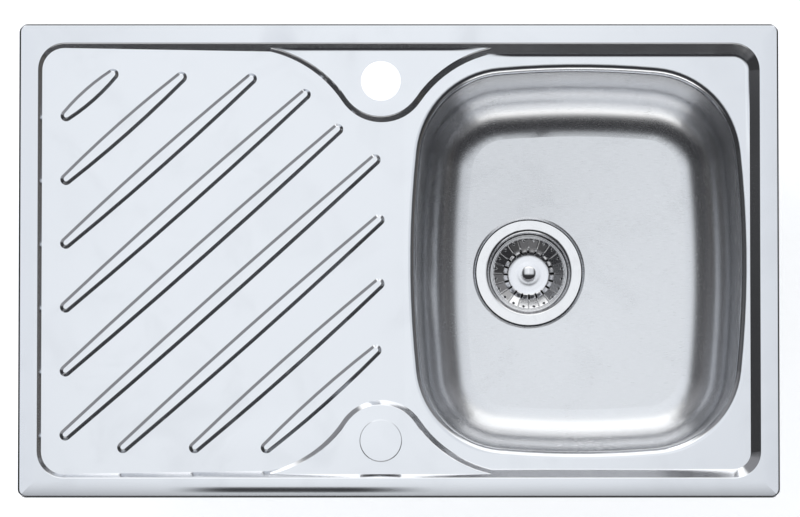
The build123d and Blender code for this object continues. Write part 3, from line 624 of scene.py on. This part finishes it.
def buildKnob(form):
    low, high = (np.array(corner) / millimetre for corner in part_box("basket_knob"))
    centre, outer, top = (low + high) / 2, (high[0] - low[0]) / 2, high[2]
    # Dome: part of a sphere that leans domeTilt degrees at its edge, rounded over into the side
    tilt = np.radians(np.linspace(0.0, form["domeTilt"], 14))
    ball = (outer - 0.3) / math.sin(tilt[-1])
    domeX, domeZ = ball * np.sin(tilt), top - ball * (1 - np.cos(tilt))
    edge = domeZ[-1]
    sideX = [outer - 0.08, outer, outer, outer - 0.25]
    sideZ = [edge - 0.12, edge - 0.4, edge - form["side"], edge - form["side"] - 0.3]
    # Underside: draws in to the neck on a quarter wave, and the neck stands on the basket's floor
    share = np.linspace(0.0, 1.0, 9)[1:]
    underX = outer - 0.25 - (outer - 0.25 - form["neck"]) * np.sin(share * math.pi / 2)
    underZ = edge - form["side"] - 0.3 - form["underside"] * (1 - np.cos(share * math.pi / 2))
    radii = np.concatenate([[0.02], domeX[1:], sideX, underX, [form["neck"]]])[:, None]
    heights = np.concatenate([[top], domeZ[1:], sideZ, underZ, [low[2]]])[:, None]
    turn = np.linspace(0.0, 2 * math.pi, form["columns"], endpoint=False)[None, :]
    points = np.stack([centre[0] + radii * np.cos(turn), centre[1] + radii * np.sin(turn),
                       heights + 0.0 * turn], axis=-1)
    piece = surfaceMesh("pullKnob", points * millimetre, wrap=True)
    piece.data.materials.append(finish["polishedSteel"])
    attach(piece, "basket")
    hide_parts("basket_knob")


buildKnob(knobForm)
print("knob turned")


# Outlet spigot with its screw thread
spigotForm = {"pitch": 2.3, "depth": 0.75, "plainTop": 3.0, "plainFoot": 1.2, "wall": 3.0, "columns": 120,
              "rowsPerPitch": 10}


def buildSpigot(form):
    low, high = (np.array(corner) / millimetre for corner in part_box("waste_spigot"))
    centre, outer = (low + high) / 2, (high[0] - low[0]) / 2
    inner = outer - form["wall"]
    rows = int((high[2] - low[2]) / form["pitch"] * form["rowsPerPitch"])
    height = np.linspace(low[2], high[2], rows)[:, None]
    turn = np.linspace(0.0, 2 * math.pi, form["columns"], endpoint=False)[None, :]
    # Thread: a triangle wave of height, shifted by one pitch a turn, faded out at both ends
    phase = (height / form["pitch"] + turn / (2 * math.pi)) % 1.0
    groove = np.clip(1.6 * (1.0 - np.abs(2.0 * phase - 1.0)) - 0.3, 0.0, 1.0)
    fade = smooth(height, low[2] + 0.4, low[2] + form["plainFoot"]) * (
        1 - smooth(height, high[2] - form["plainTop"], high[2] - form["plainTop"] + 1.5))
    outside = outer - form["depth"] * groove * fade
    inside = np.full((2, form["columns"]), inner)
    radii = np.concatenate([outside, inside])
    heights = np.concatenate([np.broadcast_to(height, outside.shape),
                              np.broadcast_to([[high[2]], [low[2]]], inside.shape)])
    angles = np.broadcast_to(turn, radii.shape)
    points = np.stack([centre[0] + radii * np.cos(angles), centre[1] + radii * np.sin(angles), heights], -1)
    piece = surfaceMesh("outletSpigot", points * millimetre, wrap=True, closed=True)
    piece.data.set_sharp_from_angle(angle=math.radians(50.0))
    piece.data.materials.append(finish["greyPlastic"])
    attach(piece, "sink")
    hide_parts("waste_spigot")


buildSpigot(spigotForm)
print("spigot threaded")


# Studio: a pale floor, a plain sky and a tent of panels that only the metal mirrors
studio = {
    "floorHeight": -0.2562, "floorHalf": 14.0, "floorTone": (0.88, 0.89, 0.90), "floorGlow": 0.42,
    "skyTone": (0.90, 0.92, 0.95), "skyStrength": 0.78,
    "tentRadius": 8.0, "tentFoot": -1.8,
    "dark": (0.036, 0.036, 0.039),
    "warmSide": 1.10, "coolSide": 0.99, "warmSpan": (-12.0, 16.0),
    # Each panel fades in and out over two spans of degrees: across, from the left (-90) over the zenith
    # to the right (90), and along, from the front (-90) over the zenith to the rear (90)
    "panels": [
        # From overhead to the rear, with a brighter middle and a brighter rear part
        {"across": (-35.0, -16.0, 24.0, 42.0), "along": (-13.0, 3.0, 66.0, 88.0),
         "light": (0.84, 0.87, 0.91)},
        {"across": (-11.0, -2.5, 2.5, 11.0), "along": (-13.0, 3.0, 66.0, 88.0),
         "light": (0.97, 1.00, 1.03)},
        {"across": (-35.0, -16.0, 24.0, 42.0), "along": (18.0, 42.0, 70.0, 86.0),
         "light": (1.30, 1.31, 1.31)},
        # Low at the rear and low at the front, with a dim surround at the front
        {"across": (-32.0, -22.0, 26.0, 36.0), "along": (70.0, 80.0, 98.0, 108.0),
         "light": (1.50, 1.50, 1.50)},
        {"across": (-42.0, -27.0, 22.0, 37.0), "along": (-81.0, -73.0, -64.0, -48.0),
         "light": (1.40, 1.39, 1.37)},
        {"across": (-64.0, -52.0, 50.0, 62.0), "along": (-84.0, -77.0, -50.0, -40.0),
         "light": (0.18, 0.18, 0.185)},
        # Haze that grows towards the rear, on the right and on the left
        {"across": (0.0, 20.0, 64.0, 78.0), "along": (-28.0, 60.0, 80.0, 92.0),
         "light": (0.27, 0.27, 0.28)},
        {"across": (-78.0, -64.0, -20.0, 0.0), "along": (-20.0, 60.0, 80.0, 92.0),
         "light": (0.26, 0.26, 0.27)},
        # Far right and far left
        {"across": (50.0, 66.0, 100.0, 110.0), "along": (-200.0, -190.0, 190.0, 200.0),
         "light": (0.115, 0.108, 0.101)},
        {"across": (-110.0, -100.0, -66.0, -50.0), "along": (-200.0, -190.0, 190.0, 200.0),
         "light": (0.040, 0.040, 0.041)},
    ],
}


def buildFloor(spec):
    half = spec["floorHalf"]
    sides = np.linspace(-half, half, 2)
    x, y = np.meshgrid(sides, sides, indexing="ij")
    floor = surfaceMesh("floor", np.stack([x, y, np.full_like(x, spec["floorHeight"])], axis=-1))
    material = bpy.data.materials.new("paleFloor")
    material.use_nodes = True
    tree = material.node_tree
    tree.nodes.clear()
    matt = addNode(tree, "ShaderNodeBsdfDiffuse")
    matt.inputs["Color"].default_value = (*spec["floorTone"], 1.0)
    glow = addNode(tree, "ShaderNodeEmission")
    rays = addNode(tree, "ShaderNodeLightPath")
    seen = maths(tree, "MAXIMUM", rays.outputs["Is Camera Ray"],
                 maths(tree, "MAXIMUM", rays.outputs["Is Glossy Ray"], rays.outputs["Is Transmission Ray"]))
    join(tree, maths(tree, "MULTIPLY", seen, spec["floorGlow"]), glow.inputs["Strength"])
    both = addNode(tree, "ShaderNodeAddShader")
    join(tree, matt.outputs[0], both.inputs[0])
    join(tree, glow.outputs[0], both.inputs[1])
    join(tree, both.outputs[0], addNode(tree, "ShaderNodeOutputMaterial").inputs["Surface"])
    floor.data.materials.append(material)


def fadeBetween(tree, angle, span):
    # Full between the two middle angles of the span and gone past its outer ones
    gone, full, stillFull, goneAgain = (math.radians(degrees) for degrees in span)
    return maths(tree, "MULTIPLY", ramp(tree, angle, gone, full),
                 ramp(tree, angle, stillFull, goneAgain, 1.0, 0.0))


def buildTent(spec):
    # Shell of one radius about the sink: rows climb from the foot to the crown, columns go round
    radius = spec["tentRadius"]
    rise = np.radians(np.linspace(spec["tentFoot"], 89.9, 40))
    turn = np.linspace(0.0, 2 * math.pi, 96, endpoint=False)
    rise, turn = np.meshgrid(rise, turn, indexing="ij")
    points = radius * np.stack([np.cos(rise) * np.cos(turn), np.cos(rise) * np.sin(turn), np.sin(rise)], -1)
    tent = surfaceMesh("studioTent", points, wrap=True)
    for kind in ("camera", "diffuse", "shadow", "transmission", "volume_scatter"):
        setattr(tent, "visible_" + kind, False)
    material = bpy.data.materials.new("tentPanels")
    material.use_nodes = True
    tree = material.node_tree
    tree.nodes.clear()
    place = addNode(tree, "ShaderNodeTexCoord").outputs["Object"]
    parts = addNode(tree, "ShaderNodeSeparateXYZ")
    join(tree, vectorMaths(tree, "NORMALIZE", place), parts.inputs[0])
    across = maths(tree, "ARCSINE", parts.outputs["X"])
    along = maths(tree, "ARCTAN2", parts.outputs["Y"], parts.outputs["Z"])
    light = spec["dark"]
    for panel in spec["panels"]:
        share = maths(tree, "MULTIPLY", fadeBetween(tree, across, panel["across"]),
                      fadeBetween(tree, along, panel["along"]))
        lit = addNode(tree, "ShaderNodeVectorMath", operation="SCALE")
        lit.inputs[0].default_value = panel["light"]
        join(tree, share, lit.inputs["Scale"])
        light = vectorMaths(tree, "MAXIMUM", lit.outputs[0], light)
    glow = addNode(tree, "ShaderNodeEmission")
    join(tree, light, glow.inputs["Color"])
    warm, cool = (math.radians(degrees) for degrees in spec["warmSpan"])
    join(tree, ramp(tree, across, warm, cool, spec["warmSide"], spec["coolSide"], "LINEAR"),
         glow.inputs["Strength"])
    join(tree, glow.outputs[0], addNode(tree, "ShaderNodeOutputMaterial").inputs["Surface"])
    tent.data.materials.append(material)


def buildSky(spec):
    world = bpy.data.worlds.new("sky")
    bpy.context.scene.world = world
    world.use_nodes = True
    tree = world.node_tree
    tree.nodes.clear()
    sky = addNode(tree, "ShaderNodeBackground")
    sky.inputs["Color"].default_value = (*spec["skyTone"], 1.0)
    sky.inputs["Strength"].default_value = spec["skyStrength"]
    join(tree, sky.outputs[0], addNode(tree, "ShaderNodeOutputWorld").inputs["Surface"])


keyLight = {"place": (-1.2, 1.4, 2.6), "aim": (0.0, 0.0, 0.0), "size": 1.6, "power": 30.0}


def addLamp(name, place, aim, size, power):
    # A square lamp that lights the matt pieces; the metal mirrors the tent instead
    data = bpy.data.lights.new(name, "AREA")
    data.size, data.energy = size, power
    lamp = bpy.data.objects.new(name, data)
    lamp.location = place
    way = np.array(aim, float) - np.array(place, float)
    lamp.rotation_euler = (math.atan2(math.hypot(way[0], way[1]), -way[2]), 0.0,
                           math.atan2(-way[0], way[1]))
    lamp.visible_glossy = False
    bpy.context.scene.collection.objects.link(lamp)


buildFloor(studio)
buildTent(studio)
buildSky(studio)
addLamp("keyLamp", **keyLight)
print("studio built")
